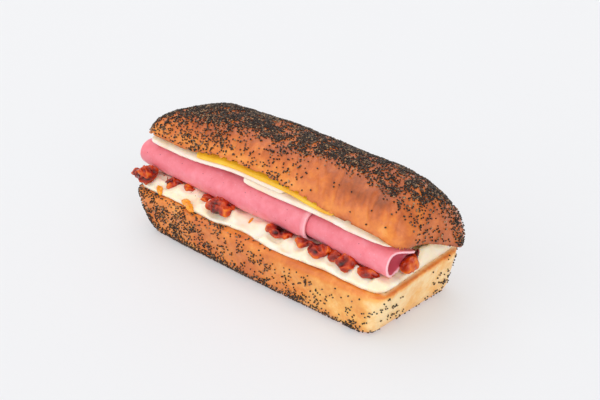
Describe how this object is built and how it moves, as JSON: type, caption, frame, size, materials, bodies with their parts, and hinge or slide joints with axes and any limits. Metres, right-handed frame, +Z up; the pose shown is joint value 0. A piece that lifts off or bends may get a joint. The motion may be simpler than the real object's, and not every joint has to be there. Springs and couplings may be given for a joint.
{
  "type": "panini sandwich",
  "caption": "Long soft loaf split along one side, its crust set with poppy seeds, filled with cream cheese, dried tomato, rolled ham and slices of white and yellow cheese.",
  "frame": {"origin": "on the surface the sandwich stands on, under the middle of its bounding box", "axes": "+X along the loaf towards the end where the ham roll shows open, -Y towards the open long side, +Z up"},
  "size_m": [0.2036, 0.0818, 0.08],
  "materials": {
    "baked_crust": "matt baked crust with a slight sheen, set with dark poppy seeds",
    "cream_cheese": "smooth moist cream cheese",
    "cooked_ham": "moist pink cooked ham",
    "white_cheese": "smooth cheese slice, slightly waxy",
    "yellow_cheese": "smooth cheese slice, slightly waxy",
    "dried_tomato": "wrinkled, oily and glossy",
    "dried_pepper": "thin glossy shreds"
  },
  "bodies": {
    "root": {"bottom_bun": "baked_crust", "top_bun": "baked_crust", "cream_spread": "cream_cheese", "ham_roll_left": "cooked_ham", "ham_roll_right": "cooked_ham", "white_cheese_right": "white_cheese", "white_cheese_left": "white_cheese", "yellow_cheese": "yellow_cheese", "tomato_01": "dried_tomato", "tomato_02": "dried_tomato", "tomato_03": "dried_tomato", "tomato_04": "dried_tomato", "tomato_05": "dried_tomato", "tomato_06": "dried_tomato", "tomato_07": "dried_tomato", "tomato_08": "dried_tomato", "tomato_09": "dried_tomato", "tomato_10": "dried_tomato", "tomato_11": "dried_tomato", "tomato_12": "dried_tomato", "tomato_13": "dried_tomato", "pepper_shred_1": "dried_pepper", "pepper_shred_2": "dried_pepper", "pepper_shred_3": "dried_pepper"}
  },
  "joints": []
}
